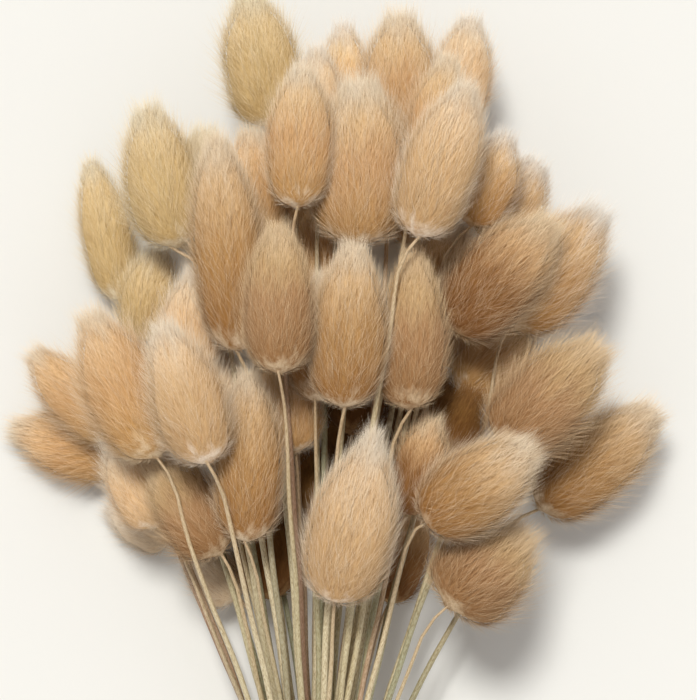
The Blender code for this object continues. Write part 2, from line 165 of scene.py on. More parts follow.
def stem_runs():
    """Ring centres of every packed stem, from its cut end to its head."""
    tie_low, tie_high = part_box("tie")
    tie_y = 0.5 * (tie_low.y + tie_high.y)
    points, edges = packed_points("stems")
    kept = np.abs(points[:, 1] - tie_y) > PRESSED_REACH
    lower, upper, runs = [], [], []
    for island in islands_of(points, edges, kept):
        rings = island[np.argsort(island[:, 1], kind="stable")].reshape(-1, PACKED_SIDES, 3).mean(axis=1)
        if rings[0, 1] > tie_y:
            upper.append(rings)
        elif rings[-1, 1] < tie_y:
            lower.append(rings)
        else:
            runs.append(rings)
    for rings in upper:
        gaps = [np.linalg.norm(rings[0, [0, 2]] - below[-1, [0, 2]]) for below in lower]
        runs.append(np.concatenate([lower[int(np.argmin(gaps))], rings]))
    return runs


def smooth_line(points, step):
    """Points at an even step along a smooth curve through the given points."""
    points = np.asarray(points, float)
    ends = np.concatenate([[2 * points[0] - points[1]], points, [2 * points[-1] - points[-2]]])
    dense = []
    for index in range(1, len(ends) - 2):
        before, first, second, after = ends[index - 1:index + 3]
        pull_out = (second - before) / (np.linalg.norm(second - before) + MERGE)
        pull_in = (after - first) / (np.linalg.norm(after - first) + MERGE)
        span = np.linalg.norm(second - first)
        for t in np.linspace(0, 1, CURVE_STEPS, endpoint=False):
            dense.append((2 * t**3 - 3 * t**2 + 1) * first + (t**3 - 2 * t**2 + t) * span * pull_out
                         + (3 * t**2 - 2 * t**3) * second + (t**3 - t**2) * span * pull_in)
    dense = np.array(dense + [points[-1]])
    along = np.concatenate([[0], np.cumsum(np.linalg.norm(np.diff(dense, axis=0), axis=1))])
    places = np.linspace(0, along[-1], max(2, round(along[-1] / step)) + 1)
    return np.stack([np.interp(places, along, dense[:, axis]) for axis in range(3)], axis=1), places


def tube_rings(line, radii, sides, turn):
    """Rings of points round a line, with the angle of each point."""
    tangents = np.gradient(line, axis=0)
    tangents /= np.linalg.norm(tangents, axis=1)[:, None]
    side = np.cross(tangents, [0, 0, 1])
    side /= np.linalg.norm(side, axis=1)[:, None]
    over = np.cross(side, tangents)
    angles = turn + 2 * math.pi * np.arange(sides) / sides
    spokes = (side[:, None] * np.cos(angles)[None, :, None] + over[:, None] * np.sin(angles)[None, :, None])
    return line[:, None] + spokes * np.asarray(radii)[:, None, None], angles


def ring_faces(rings, sides, start=0):
    """Side faces between rings of points that follow one another."""
    faces = []
    for ring in range(rings - 1):
        low = start + ring * sides
        for corner in range(sides):
            beside = (corner + 1) % sides
            faces.append((low + corner, low + sides + corner, low + sides + beside, low + beside))
    return faces


def straw_material():
    """Dry grass straw: a pale waxy skin over fine ribs, which leaves soft lengthwise highlights.

    Each straw has dried to a tone of its own, from cream to olive, grey green and a reddish brown, and
    is paler and pinker near its head. The ribs of real straw are 0.1 mm apart, too fine to show, so
    they are drawn twice as coarse."""
    material, shader = material_with("dry_grass_straw", 0.5)
    place = add(material, "Attribute", {"attribute_name": "straw"}).outputs["Vector"]
    kind = add(material, "SeparateXYZ",
               Vector=add(material, "Attribute", {"attribute_name": "stalk"}).outputs["Vector"])
    dried = [(0.0, "#EEE6CC"), (0.35, "#DED6B8"), (0.55, "#C4BE9E"), (0.72, "#B0B49C"), (0.86, "#CEB6A0"),
             (1.0, "#AE8C78")]
    tone = add(material, "ValToRGB", {"stops": dried}, Fac=kind.outputs["X"])
    neck = add(material, "MixRGB", Fac=kind.outputs["Y"], Color1=tone.outputs["Color"],
               Color2=linear("#DEC8AA"))
    ribs = add(material, "Mapping", Vector=place, Scale=RIB_SCALE)
    streaks = add(material, "TexNoise", Vector=ribs.outputs["Vector"], Scale=RIB_NOISE, Detail=3.0,
                  Roughness=0.6)
    ribbed = [(0.26, "#A08E70"), (0.42, "#D8CDB8"), (0.56, "#F2ECDF"), (0.74, "#FFFFFF")]
    shades = add(material, "ValToRGB", {"stops": ribbed}, Fac=streaks.outputs["Fac"])
    mixed = add(material, "MixRGB", {"blend_type": "MULTIPLY"}, Fac=1.0, Color1=neck.outputs["Color"],
                Color2=shades.outputs["Color"])
    material.node_tree.links.new(mixed.outputs["Color"], shader.inputs["Base Color"])
    bump = add(material, "Bump", Height=streaks.outputs["Fac"], Strength=0.35, Distance=RIB_HEIGHT)
    material.node_tree.links.new(bump.outputs["Normal"], shader.inputs["Normal"])
    return material


def make_straws():
    """All the straws as one piece. Each follows its packed stem and has a joint and a hollow cut end."""
    random = np.random.default_rng(STRAW_SEED)
    points, faces, vectors, kinds = [], [], [], []
    for number, run in enumerate(stem_runs()):
        inside = run[-1] + (run[-1] - run[-2]) / np.linalg.norm(run[-1] - run[-2]) * STRAW_IN_HEAD
        line, places = smooth_line(np.concatenate([run, [inside]]), STRAW_STEP)
        length = places[-1]
        share = places / length
        phase = random.uniform(0, 2 * math.pi, 2)
        calm = np.clip(np.minimum(share, 1 - share) * STRAW_CALM, 0, 1)
        wave = 2 * math.pi * places / STRAW_WAVE
        line[:, 0] += STRAW_WOBBLE * calm * np.sin(wave + phase[0])
        line[:, 2] += STRAW_WOBBLE * calm * np.sin(STRAW_WAVE_UPRIGHT * wave + phase[1])
        below = np.clip((length - places) / STRAW_NECK_LENGTH, 0, 1)
        radii = STRAW_NECK_RADIUS + (STRAW_CUT_RADIUS - STRAW_NECK_RADIUS) * below**STRAW_NECK_CURVE
        radii *= random.uniform(*STRAW_GIRTH)
        joint = random.uniform(*JOINT_PLACE) * length
        radii *= 1 + JOINT_SWELL * np.exp(-((places - joint) / JOINT_LENGTH) ** 2)
        rings, angles = tube_rings(line, radii, STRAW_SIDES, phase[0])
        start = len(points)
        mouth = line[0] + (rings[0] - line[0]) * HOLLOW_SHARE
        inward = (line[1] - line[0]) / np.linalg.norm(line[1] - line[0])
        floor_ring = mouth + inward * HOLLOW_DEPTH
        everything = np.concatenate([floor_ring[None], mouth[None], rings])
        points.extend(map(tuple, everything.reshape(-1, 3)))
        faces.extend(ring_faces(len(everything), STRAW_SIDES, start))
        faces.append(tuple(start + corner for corner in range(STRAW_SIDES)))
        last = start + (len(everything) - 1) * STRAW_SIDES
        faces.append(tuple(last + corner for corner in reversed(range(STRAW_SIDES))))
        along = np.concatenate([[0.0, 0.0], places]) / STRAW_PATTERN + STRAW_PATTERN_STEP * number
        tone = random.uniform(0, 1)
        for high in np.concatenate([[0.0, 0.0], 1 - below]):
            kinds.extend([(tone, high, 0)] * STRAW_SIDES)
        around = np.stack([np.cos(angles), np.sin(angles)], axis=1)
        for value in along:
            for x, y in around:
                vectors.append((x, y, value))
    straws = piece_from("straw_stems", points, faces, straw_material(), straw=vectors, stalk=kinds)
    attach(straws, "root")
    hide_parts("stems")


make_straws()

# Tie: one length of brown jute twine, wound round the stems side by side, with its ends pushed under
# the turns. Jute is three plies of coarse dry fibre twisted together, and short fibres stand off it.
TWINE_TURNS = 5
TWINE_PLIES = 3
TWINE_RADIUS = 0.9 * MM
PLY_RADIUS = 0.47 * MM
PLY_OFFSET = 0.5 * MM
PLY_PITCH = 6.5 * MM
PLY_SIDES = 7
TWINE_STEPS = 440
TUCK_TURNS = 0.12           # each end is pushed under the turns over this share of a turn
TWINE_PATTERN = 12          # a ply's pattern counts its length in steps by this many
TWINE_PATTERN_STEP = 9      # and starts this much further on with each ply
JUTE_SCALE = (2.6, 2.6, 1.2) # with JUTE_NOISE, fibres about 0.1 mm wide and 3 mm long
JUTE_NOISE = 2.2
JUTE_HEIGHT = 0.2 * MM
TWINE_FIBRES = 420
FIBRE_LENGTH = 1.6 * MM
FIBRE_LENGTHS = (0.5, 1)    # the shortest and the longest fibre, as shares of this length
FIBRE_RADIUS = 0.035 * MM
FIBRE_ROOT = 0.8            # a fibre starts at this share of the twine's radius
FIBRE_LIFT = (0.25, 0.7)    # how far it turns away from the twine
FIBRE_AHEAD = 2             # steps along the twine that give a fibre its direction
FIBRE_MARGIN = 4            # no fibre stands within this many steps of an end
FIBRE_PATTERN = 30          # each takes its tone from a place up to this far along the pattern
TWINE_SEED = 5


def twine_material():
    """Jute: dull coarse plant fibre. Each ply shows its own fibres as streaks along its twist."""
    material, shader = material_with("twisted_jute", 0.9)
    place = add(material, "Attribute", {"attribute_name": "ply"}).outputs["Vector"]
    fibres = add(material, "Mapping", Vector=place, Scale=JUTE_SCALE)
    grain = add(material, "TexNoise", Vector=fibres.outputs["Vector"], Scale=JUTE_NOISE, Detail=4.0,
                Roughness=0.65)
    browns = [(0.28, "#5E4222"), (0.45, "#8E6A3E"), (0.6, "#B08A58"), (0.78, "#CFAE7E")]
    tone = add(material, "ValToRGB", {"stops": browns}, Fac=grain.outputs["Fac"])
    material.node_tree.links.new(tone.outputs["Color"], shader.inputs["Base Color"])
    bump = add(material, "Bump", Height=grain.outputs["Fac"], Strength=0.6, Distance=JUTE_HEIGHT)
    material.node_tree.links.new(bump.outputs["Normal"], shader.inputs["Normal"])
    shader.inputs["Sheen Weight"].default_value = 0.2
    return material


def make_twine():
    """The tie as one piece: three plies twisted together, wound round the stems, and loose fibres.

    The first and the last half turn lie level, and each turn between them moves on by one twine."""
    random = np.random.default_rng(TWINE_SEED)
    low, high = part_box("tie")
    middle = 0.5 * (low + high)
    radius = 0.5 * (high.z - low.z) - TWINE_RADIUS
    lay = (high.y - low.y - 2 * TWINE_RADIUS) / (TWINE_TURNS - 1)
    turn = np.linspace(0, TWINE_TURNS, TWINE_STEPS)
    angle = 2 * math.pi * turn
    tuck = np.clip(np.minimum(turn, TWINE_TURNS - turn) / TUCK_TURNS, 0, 1)
    reach = radius - (1 - tuck) * TWINE_RADIUS
    row = np.clip(turn - 0.5, 0, TWINE_TURNS - 1)
    line = np.stack([middle.x + reach * np.cos(angle), low.y + TWINE_RADIUS + lay * row,
                     middle.z + reach * np.sin(angle)], axis=1)
    out = np.stack([np.cos(angle), np.zeros_like(angle), np.sin(angle)], axis=1)
    side = np.tile([0.0, 1.0, 0.0], (TWINE_STEPS, 1))
    twist = 2 * math.pi * radius * turn * 2 * math.pi / PLY_PITCH
    points, faces, vectors = [], [], []
    for ply in range(TWINE_PLIES):
        swing = twist + 2 * math.pi * ply / TWINE_PLIES
        centre = line + PLY_OFFSET * (np.cos(swing)[:, None] * out + np.sin(swing)[:, None] * side)
        for place, spin in zip(range(TWINE_STEPS), swing):
            for corner in range(PLY_SIDES):
                around = spin + 2 * math.pi * corner / PLY_SIDES
                spoke = math.cos(around) * out[place] + math.sin(around) * side[place]
                points.append(tuple(centre[place] + PLY_RADIUS * spoke))
                vectors.append((math.cos(around - spin), math.sin(around - spin),
                                place / TWINE_PATTERN + TWINE_PATTERN_STEP * ply))
        start = ply * TWINE_STEPS * PLY_SIDES
        faces.extend(face[::-1] for face in ring_faces(TWINE_STEPS, PLY_SIDES, start))
        faces.append(tuple(start + corner for corner in reversed(range(PLY_SIDES))))
        last = start + (TWINE_STEPS - 1) * PLY_SIDES
        faces.append(tuple(last + corner for corner in range(PLY_SIDES)))
    for _ in range(TWINE_FIBRES):
        place = int(random.integers(FIBRE_MARGIN, TWINE_STEPS - FIBRE_MARGIN))
        tilt = random.uniform(0, 2 * math.pi)
        spoke = Vector(out[place]) * abs(math.cos(tilt)) + Vector(side[place]) * math.sin(tilt)
        root = Vector(line[place]) + spoke * TWINE_RADIUS * FIBRE_ROOT
        lean = Vector(line[place + FIBRE_AHEAD] - line[place]).normalized() * random.choice([-1, 1])
        heading = (spoke * random.uniform(*FIBRE_LIFT) + lean).normalized()
        across = heading.cross(spoke).normalized() * FIBRE_RADIUS
        above = heading.cross(across).normalized() * FIBRE_RADIUS
        start = len(points)
        tip = root + heading * FIBRE_LENGTH * random.uniform(*FIBRE_LENGTHS)
        points.extend(tuple(p) for p in (root + across, root - across * 0.5 + above,
                                         root - across * 0.5 - above, tip))
        vectors.extend([(0.5, 0.5, random.uniform(0, FIBRE_PATTERN))] * 4)
        faces.extend([(start, start + 2, start + 1), (start, start + 1, start + 3),
                      (start + 1, start + 2, start + 3), (start + 2, start, start + 3)])
    twine = piece_from("jute_twine_tie", points, faces, twine_material(), ply=vectors)
    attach(twine, "root")
    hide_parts("tie")


make_twine()

# Seed heads: each is a dense spike of small spikelets, whose husks end in fine silky hairs that lean to
# the tip. Together they are one soft egg of fur, paler at its tip and round its base. The hairs are drawn
# as slim spikes, wider and fewer than the real ones, and thinner ones stand out of the coat.
FULLEST_AT = 0.4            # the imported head's outline, from its base at 0 to its tip at 1
BASE_BLUNTNESS = 3.4
TIP_BLUNTNESS = 2.4
TIP_NARROWING = 0.62
OUTLINE_STEPS = 201
AXIS_PASSES = 3             # the head's two ends and the axis between them settle in this many passes
SLOPES = (-1.6, 2.2)        # the least and the most that the fur follows the outline's slope
FACING_SLOPE = 2.2          # and the most, either way, that shows in how it takes the light
TINY = 1e-9                 # keeps a direction from having no length
CORE_SIDES = 28
CORE_RINGS = 24
CORE_START = 0.01           # the core's first ring and its whole run, as shares of the head's length
CORE_RUN = 0.93
CORE_POLES = (0.02, 0.94)   # shares of the length where it closes
CORE_SINK = 0.075           # share of the head's width that the core lies below the fur's surface
CORE_DEEPEST = 0.7          # but never deeper than this share of the way to the head's axis
TIP_SINK = 0.9              # and how much deeper it lies at the tip, where the hairs alone make the shape
CORE_GLOW = 0.35            # the core takes the light as the lowest coat does
CORE_MARKS = (0.15, 0.5, 0.0) # and the colour, as low on a hair of middling tone, so the roots' painted shade darkens it a little
SWELLS = 5                  # waves that make a head's surface uneven
SWELL_LEAST = (1, 0.4, 0)   # each one's waves round the head and along it, and where it starts
SWELL_MOST = (5, 2.2, 2 * math.pi)
SWELL_DEPTH = 0.02          # its height, as a share of the head's radius
HIDDEN_FROM = 44            # heads from this number on lie under the others: fewer, wider hairs
HIDDEN_SHARE = 0.4          # share of the hairs that such a head keeps
# Each coat: its hairs to a square millimetre, their length as a share of the head's width and how much
# it varies, their roots' depth as such a share, their width in millimetres, lift and sideways swing in
# degrees, the stretch of the head that they cover, how flat they are, how far they take the light as one
# smooth coat would, and how far as if it came through them, which leaves no side of a fine hair dark.
# The last two coats are the long wisps of the halo and the tuft at the tip.
COATS = (
    dict(density=0.78, length=0.26, vary=(0.6, 1.2), depth=0.06, width=0.16, lift=9, swing=7,
         stretch=(0.0, 0.94), flat=0.4, smooth=0.8, glow=0.35),
    dict(density=0.60, length=0.34, vary=(0.6, 1.2), depth=0.055, width=0.10, lift=20, swing=12,
         stretch=(0.0, 0.97), flat=0.7, smooth=0.5, glow=0.7),
    dict(density=0.86, length=0.52, vary=(0.5, 1.2), depth=0.05, width=0.055, lift=35, swing=18,
         stretch=(0.02, 0.985), flat=1.0, smooth=0.1, glow=1.6),
    dict(density=0.26, length=0.60, vary=(0.5, 1.15), depth=0.05, width=0.036, lift=32, swing=26,
         stretch=(0.04, 0.985), flat=1.0, smooth=0.0, glow=2.0),
    dict(density=2.6, length=0.34, vary=(0.3, 1.55), depth=0.06, width=0.065, lift=13, swing=16,
         stretch=(0.82, 0.992), flat=1.0, smooth=0.2, glow=1.4),
)
TAPER = (0.02, 0.14)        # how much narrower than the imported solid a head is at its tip
TAPER_FROM = 0.5            # it narrows from this share of its length on, by this power
TAPER_CURVE = 1.5
POINTED_HEADS = {6: 0.5}    # the head that narrows more than the others
# Heads whose fur lies closer, with the share of the lift that their hairs keep
SLEEK_HEADS = {1: 0.5, 2: 0.7, 3: 0.5, 4: 0.5, 5: 0.55, 6: 0.4, 8: 0.6, 9: 0.7, 10: 0.6, 12: 0.6, 14: 0.75,
               22: 0.7, 23: 0.7, 30: 0.6}
SLEEK_LENGTH = 0.7          # share of a hair's length that stays where the lift falls to nothing
TIP_SHORTENING = 0.36       # hairs get this much shorter towards the tip, from this share of the head on
SHORTER_FROM = 0.65
TIP_AHEAD = 0.5             # and turn this far towards straight ahead, from this share on
AHEAD_FROM = 0.72
BASE_SHORTENING = 0.3       # hairs at the round base start this short, to follow its curve, and are
BASE_STRETCH = 0.16         # whole from this share on
SHARE_SCATTER = 0.006       # how far a root strays from its even place, along the head and round it
TURN_SCATTER = 0.08
FIRST_ROOT = 0.002          # no root lies closer than this to where its coat starts
LIFTS = (0.4, 1.5)          # the least and the most lift and width of a hair, as shares of its coat's
WIDTHS = (0.75, 1.25)
AIM_LIMIT = 0.965           # hairs are aimed no further along the head than this
AIM_AHEAD = 0.01            # but always this far ahead of their roots
# The finest hairs' paler ends are partly their own colour and partly painted light that comes through them
FINE_WIDTH = 0.06           # hairs as thin as this, in millimetres, go palest at their ends
PALE_END = 0.85             # and this far towards the tip's colour
GOLDEN_ANGLE = math.pi * (3 - math.sqrt(5))
REST_SKIN = 0.15 * MM       # hairs under a resting head lie flat about this far above the surface
REST_SKINS = (0.4, 2.2)     # between these shares of it
# The fur's patterns count across a head in its radius, about 7.5 mm, and along it in its length, 40 mm
DRIFT_SCALE = (3.2, 3.2, 1.6)   # soft streaks 2 mm wide and 25 mm long
HUSK_SCALE = (9, 9, 5.5)        # husks 1 mm wide and 7 mm long
LINE_SCALE = (26, 26, 7)        # lines 0.3 mm wide and 6 mm long
PATTERN_STEP = 3.0              # each head's patterns start this much further on
FUR_SEED = 23


def outline(share):
    """Radius of a head at a share of its length, as a share of its greatest radius."""
    share = np.asarray(share, float)
    lower = np.sqrt(1 - np.clip(1 - share / FULLEST_AT, 0, 1) ** BASE_BLUNTNESS)
    upper = (1 - np.clip((share - FULLEST_AT) / (1 - FULLEST_AT), 0, 1) ** TIP_BLUNTNESS) ** TIP_NARROWING
    return np.where(share < FULLEST_AT, lower, upper)


def unit(vectors):
    """The vectors, each at length one."""
    return vectors / np.linalg.norm(vectors, axis=-1, keepdims=True)


class Head:
    """A packed head's base, axis and size, and the smooth uneven surface that its fur makes."""

    def __init__(self, node, random):
        points, _ = packed_points(node)
        middle = points.mean(axis=0)
        tie_low, tie_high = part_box("tie")
        axis = np.linalg.svd(points - middle)[2][0]
        axis *= np.sign(axis @ (middle - np.array(0.5 * (tie_low + tie_high))))
        for _ in range(AXIS_PASSES):
            reach = points @ axis
            base = points[np.argmin(reach)]
            tip = points[np.argmax(reach)]
            axis = unit(tip - base)
        away = points - base
        self.base = base
        self.axis = axis
        self.length = np.linalg.norm(tip - base)
        self.radius = np.linalg.norm(away - np.outer(away @ axis, axis), axis=1).max()
        self.side = unit(np.cross(axis, [0, 0, 1]))
        self.over = np.cross(self.side, axis)
        self.shares = np.linspace(0, 1, OUTLINE_STEPS)
        girth = outline(self.shares) * self.radius
        self.slopes = np.gradient(girth, self.shares * self.length)
        strips = 2 * math.pi * girth * np.hypot(1, self.slopes) * self.length / (OUTLINE_STEPS - 1)
        self.area = np.cumsum(strips) - strips[0]
        steps = np.hypot(np.diff(self.shares * self.length), np.diff(girth))
        self.reaches = np.concatenate([[0], np.cumsum(steps)])
        self.swells = random.uniform(SWELL_LEAST, SWELL_MOST, (SWELLS, 3))
        self.number = int(node[-2:])
        self.taper = POINTED_HEADS.get(self.number, random.uniform(*TAPER))
        self.lift = SLEEK_HEADS.get(self.number, 1)

    def surface(self, share, turn):
        """Points of the surface, with the directions out of it, towards the tip and across."""
        waves = np.sin(np.multiply.outer(turn, np.round(self.swells[:, 0])) + self.swells[:, 2]
                       + 2 * math.pi * np.multiply.outer(share, self.swells[:, 1]))
        radius = outline(share) * self.radius * (1 + SWELL_DEPTH * waves.sum(axis=-1))
        radius *= 1 - self.taper * np.clip((share - TAPER_FROM) / (1 - TAPER_FROM), 0, 1) ** TAPER_CURVE
        out = np.multiply.outer(np.cos(turn), self.side) + np.multiply.outer(np.sin(turn), self.over)
        slope = np.clip(np.interp(share, self.shares, self.slopes), *SLOPES)
        ahead = unit(self.axis + slope[:, None] * out)
        across = unit(np.cross(ahead, out))
        points = self.base + np.outer(share * self.length, self.axis) + radius[:, None] * out
        return points, np.cross(across, ahead), ahead, across

    def depth(self, share, part):
        """How deep below the surface a part of the head's width lies, which is more towards the tip."""
        more = 1 + TIP_SINK * np.clip((share - TAPER_FROM) / (1 - TAPER_FROM), 0, 1)
        return part * 2 * self.radius * more

    def facing(self, points):
        """Directions in which one smooth coat would face at points on it."""
        reach = (points - self.base) @ self.axis
        out = unit(points - self.base - np.outer(reach, self.axis) + TINY)
        slope = np.interp(reach / self.length, self.shares, self.slopes)
        return unit(out - np.clip(slope, -FACING_SLOPE, FACING_SLOPE)[:, None] * self.axis)


def one_hair():
    """Points and faces of one hair, a flat three-sided spike along +Y, one long and one in half width."""
    bpy.ops.object.select_all(action="DESELECT")
    bpy.ops.mesh.primitive_cone_add(vertices=3, radius1=1, radius2=0, depth=1, end_fill_type="NGON",
                                    location=(0, 0.5, 0), rotation=(-math.pi / 2, 0, 0))
    hair = bpy.context.object
    bpy.ops.object.transform_apply(location=True, rotation=True, scale=True)
    points = np.array([tuple(vert.co) for vert in hair.data.vertices])
    faces = np.array([list(face.vertices) for face in hair.data.polygons])
    bpy.data.objects.remove(hair)
    return points, faces


def grow(head, random, hair, coat, thinned):
    """One coat of hairs on a head: points, what each is facing, and its place, shade and kind.

    Each hair is aimed at a place above the surface ahead of its root, so it follows the surface."""
    low, high = coat["stretch"]
    low_area, high_area = np.interp((low, high), head.shares, head.area)
    count = round((high_area - low_area) / MM**2 * coat["density"] * thinned)
    spread = low_area + (high_area - low_area) * (np.arange(count) + 0.5) / count
    share = np.interp(spread, head.area, head.shares) + random.normal(0, SHARE_SCATTER, count)
    share = np.clip(share, low + FIRST_ROOT, high)
    turn = np.arange(count) * GOLDEN_ANGLE + random.uniform(0, 2 * math.pi)
    turn += random.normal(0, TURN_SCATTER, count)
    points, up, _, across = head.surface(share, turn)
    roots = points - head.depth(share, coat["depth"])[:, None] * up
    lengths = coat["length"] * 2 * head.radius * random.uniform(*coat["vary"], count)
    lengths *= 1 - TIP_SHORTENING * np.clip((share - SHORTER_FROM) / (1 - SHORTER_FROM), 0, 1)
    lengths *= SLEEK_LENGTH + (1 - SLEEK_LENGTH) * head.lift
    lengths *= BASE_SHORTENING + (1 - BASE_SHORTENING) * np.clip(share / BASE_STRETCH, 0, 1)
    lift = math.radians(coat["lift"]) * head.lift * random.uniform(*LIFTS, count)
    reach = np.interp(share, head.shares, head.reaches) + lengths * np.cos(lift)
    aim_share = np.interp(reach, head.reaches, head.shares)
    aim_share = np.clip(aim_share, 0, np.maximum(AIM_LIMIT, share + AIM_AHEAD))
    aims, aims_up, _, _ = head.surface(aim_share, turn)
    level = unit(aims + (lengths * np.sin(lift))[:, None] * aims_up - roots)
    ahead = TIP_AHEAD * np.clip((share - AHEAD_FROM) / (1 - AHEAD_FROM), 0, 1)[:, None]
    level = unit((1 - ahead) * level + ahead * head.axis)
    swing = math.radians(coat["swing"]) * random.normal(0, 1, count)
    heading = np.cos(swing)[:, None] * level + np.sin(swing)[:, None] * across
    side = unit(np.cross(heading, up))
    over = np.cross(side, heading)
    widths = 0.5 * coat["width"] * MM * random.uniform(*WIDTHS, count) / math.sqrt(thinned)
    sideways = (widths[:, None] * hair[:, 0])[..., None] * side[:, None]
    outwards = (coat["flat"] * widths[:, None] * hair[:, 2])[..., None] * over[:, None]
    blades = roots[:, None] + (lengths[:, None] * hair[:, 1])[..., None] * heading[:, None]
    blades = (blades + sideways + outwards).reshape(-1, 3)
    own = (sideways + outwards + MERGE * over[:, None]).reshape(-1, 3)
    facing = coat["smooth"] * head.facing(blades) + (1 - coat["smooth"]) * unit(own)
    facing = unit(facing + coat["glow"] * np.array([0, 0, 1]))
    marks = np.stack([np.tile(hair[:, 1], count), np.repeat(random.uniform(0, 1, count), len(hair)),
                      np.full(count * len(hair), PALE_END * min(1, FINE_WIDTH / coat["width"])**2)], axis=1)
    return blades, facing, marks


def core(head):
    """The dense middle of a head, as rings of points that close at two poles, and its faces."""
    rows = np.linspace(0, math.pi, CORE_RINGS + 2)[1:-1]
    share = np.repeat(CORE_START + CORE_RUN * (0.5 - 0.5 * np.cos(rows)), CORE_SIDES)
    turn = np.tile(2 * math.pi * np.arange(CORE_SIDES) / CORE_SIDES, CORE_RINGS)
    points, up, _, _ = head.surface(share, turn)
    middles = head.base + np.outer(share * head.length, head.axis)
    deepest = CORE_DEEPEST * np.linalg.norm(points - middles, axis=1)
    points -= np.minimum(head.depth(share, CORE_SINK), deepest)[:, None] * up
    poles = head.base + np.outer(np.multiply(CORE_POLES, head.length), head.axis)
    faces = ring_faces(CORE_RINGS, CORE_SIDES)
    base_pole = CORE_RINGS * CORE_SIDES
    top = base_pole - CORE_SIDES
    for corner in range(CORE_SIDES):
        beside = (corner + 1) % CORE_SIDES
        faces.append((base_pole, corner, beside))
        faces.append((base_pole + 1, top + beside, top + corner))
    points = np.concatenate([points, poles])
    facing = unit(np.concatenate([up, [-head.axis, head.axis]]) + np.array([0, 0, CORE_GLOW]))
    marks = np.tile(CORE_MARKS, (len(points), 1))
    return points, facing, marks, faces


def fur_material(name, rim, under, body, upper, tip, depth):
    """Silky dried plant hair, which scatters light softly and shines a little along its edges.

    The colour runs from the pale edge at the base over the body to the tip. The lower body is darker
    partly in the hair's own colour and partly as painted shade, and the colour is deepest at the hairs'
    roots as painted shade between them. The ends of the finest hairs are paler partly in their own
    colour and partly as painted light that comes through them. The colour differs a little from hair to
    hair, and drifts in soft streaks along the head. Between the hairs show finer ones, drawn as streaks
    six times as wide as a real hair, and here and there the browner husks."""
    material, shader = material_with(name, 0.85)
    home = add(material, "Attribute", {"attribute_name": "coat"}).outputs["Vector"]
    strand = add(material, "Attribute", {"attribute_name": "fur"}).outputs["Vector"]
    along = add(material, "SeparateXYZ", Vector=home).outputs["Z"]
    split = add(material, "SeparateXYZ", Vector=strand)
    height, shade, fineness = (split.outputs[axis] for axis in "XYZ")
    streaks = add(material, "Mapping", Vector=home, Scale=DRIFT_SCALE)
    patches = add(material, "TexNoise", Vector=streaks.outputs["Vector"], Scale=1.0, Detail=3.0,
                  Roughness=0.55)
    drift = add(material, "MapRange", Value=patches.outputs["Fac"], n_1=0.3, n_2=0.7, n_3=-0.09, n_4=0.09)
    moved = add(material, "Math", {"operation": "ADD"}, n_0=along, n_1=drift.outputs["Result"])
    # The lower body's darker stop is partly the head's own colour and partly painted shade
    run = [(0.02, rim), (0.14, under), (0.5, body), (0.75, upper), (1.0, tip)]
    colour = add(material, "ValToRGB", {"stops": run}, Fac=moved.outputs["Value"])
    # Painted shade: the colour darkens towards each hair's root, where the hairs over it shade it
    root_shade = add(material, "MapRange", Value=height, n_1=0.0, n_2=0.5, n_3=0.25, n_4=0.0)
    deep = add(material, "MixRGB", Fac=root_shade.outputs["Result"], Color1=colour.outputs["Color"],
               Color2=linear(depth))
    spots = add(material, "Mapping", Vector=home, Scale=HUSK_SCALE)
    flecks = add(material, "TexNoise", Vector=spots.outputs["Vector"], Scale=1.0, Detail=1.5)
    husks = add(material, "MapRange", Value=flecks.outputs["Fac"], n_1=0.58, n_2=0.7, n_3=0.0, n_4=0.4)
    deep = add(material, "MixRGB", Fac=husks.outputs["Result"], Color1=deep.outputs["Color"],
               Color2=linear(depth))
    # Partly painted light: the ends of the finest hairs turn towards the tip's colour as light comes
    # through them, and they are partly paler in their own colour
    reach = add(material, "MapRange", Value=height, n_1=0.0, n_2=0.7, n_3=0.0, n_4=1.0)
    ends = add(material, "Math", {"operation": "MULTIPLY"}, n_0=reach.outputs["Result"], n_1=fineness)
    pale = add(material, "MixRGB", Fac=ends.outputs["Value"], Color1=deep.outputs["Color"],
               Color2=linear(tip))
    lines = add(material, "Mapping", Vector=home, Scale=LINE_SCALE)
    thin = add(material, "TexNoise", Vector=lines.outputs["Vector"], Scale=1.0, Detail=2.0)
    lined = add(material, "ValToRGB", {"stops": [(0.3, "#ECE5DC"), (0.55, "#FFFFFF")]},
                Fac=thin.outputs["Fac"])
    combed = add(material, "MixRGB", {"blend_type": "MULTIPLY"}, Fac=1.0, Color1=pale.outputs["Color"],
                 Color2=lined.outputs["Color"])
    hairs = [(0.0, "#DACCBA"), (0.05, "#EAE2D8"), (0.16, "#F8F4F0"), (1.0, "#FFFFFF")]
    spread = add(material, "ValToRGB", {"stops": hairs}, Fac=shade)
    varied = add(material, "MixRGB", {"blend_type": "MULTIPLY"}, Fac=1.0, Color1=combed.outputs["Color"],
                 Color2=spread.outputs["Color"])
    material.node_tree.links.new(varied.outputs["Color"], shader.inputs["Base Color"])
    shader.inputs["Specular IOR Level"].default_value = 0.2
    shader.inputs["Sheen Weight"].default_value = 0.2
    shader.inputs["Sheen Roughness"].default_value = 0.5
    shader.inputs["Sheen Tint"].default_value = linear("#F6E8D2")
    return material
